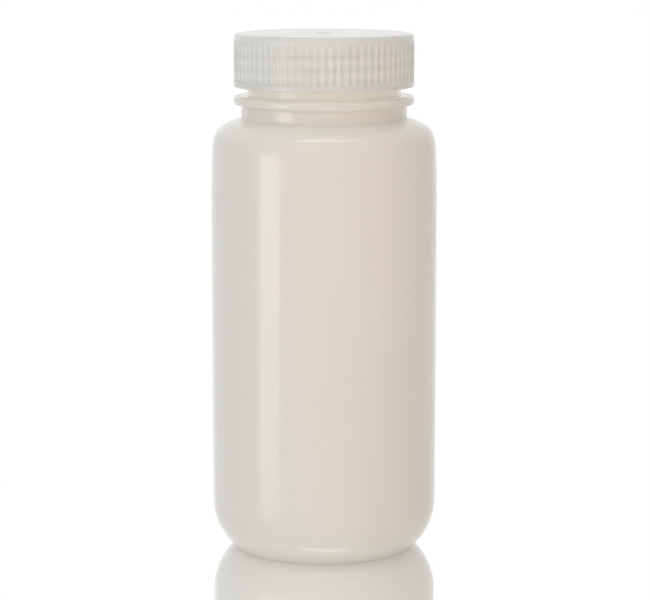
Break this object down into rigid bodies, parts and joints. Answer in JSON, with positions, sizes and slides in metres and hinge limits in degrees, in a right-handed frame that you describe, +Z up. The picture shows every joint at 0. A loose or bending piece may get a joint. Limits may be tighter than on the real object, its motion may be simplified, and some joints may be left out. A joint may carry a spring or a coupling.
{
  "type": "wide-mouth reagent bottle",
  "caption": "Wide-mouth cylindrical plastic reagent bottle with a ribbed screw closure that turns and lifts off its threaded neck, sealing on a foamed disc liner.",
  "frame": {"origin": "on the bottle's axis, in the plane of the ring that it stands on", "axes": "+Z up along the bottle's axis, +X and +Y across it; the bottle is round, so -Y is simply the side taken as its front"},
  "size_m": [0.0736, 0.0736, 0.1692],
  "materials": {
    "natural_polyethylene": "natural milky translucent, satin",
    "foamed_liner": "white closed-cell foam, matt",
    "frosted_polypropylene": "natural frosted translucent"
  },
  "bodies": {
    "bottle": {"bottle": "natural_polyethylene"},
    "liner": {"sealing_liner": "foamed_liner"},
    "closure": {"closure": "frosted_polypropylene"}
  },
  "joints": [
    {"name": "closure_turn", "type": "hinge", "parent": "liner", "child": "closure", "pos_m": [0, 0, 0.16], "axis": [0, 0, 1], "range_deg": [0, 1440]},
    {"name": "closure_lift", "type": "slide", "parent": "bottle", "child": "liner", "axis": [0, 0, 1], "range_m": [0, 0.017]}
  ],
  "couplings": [
    {"joint": "closure_lift", "follows": "closure_turn", "m_per_rad": 0.0006737}
  ]
}
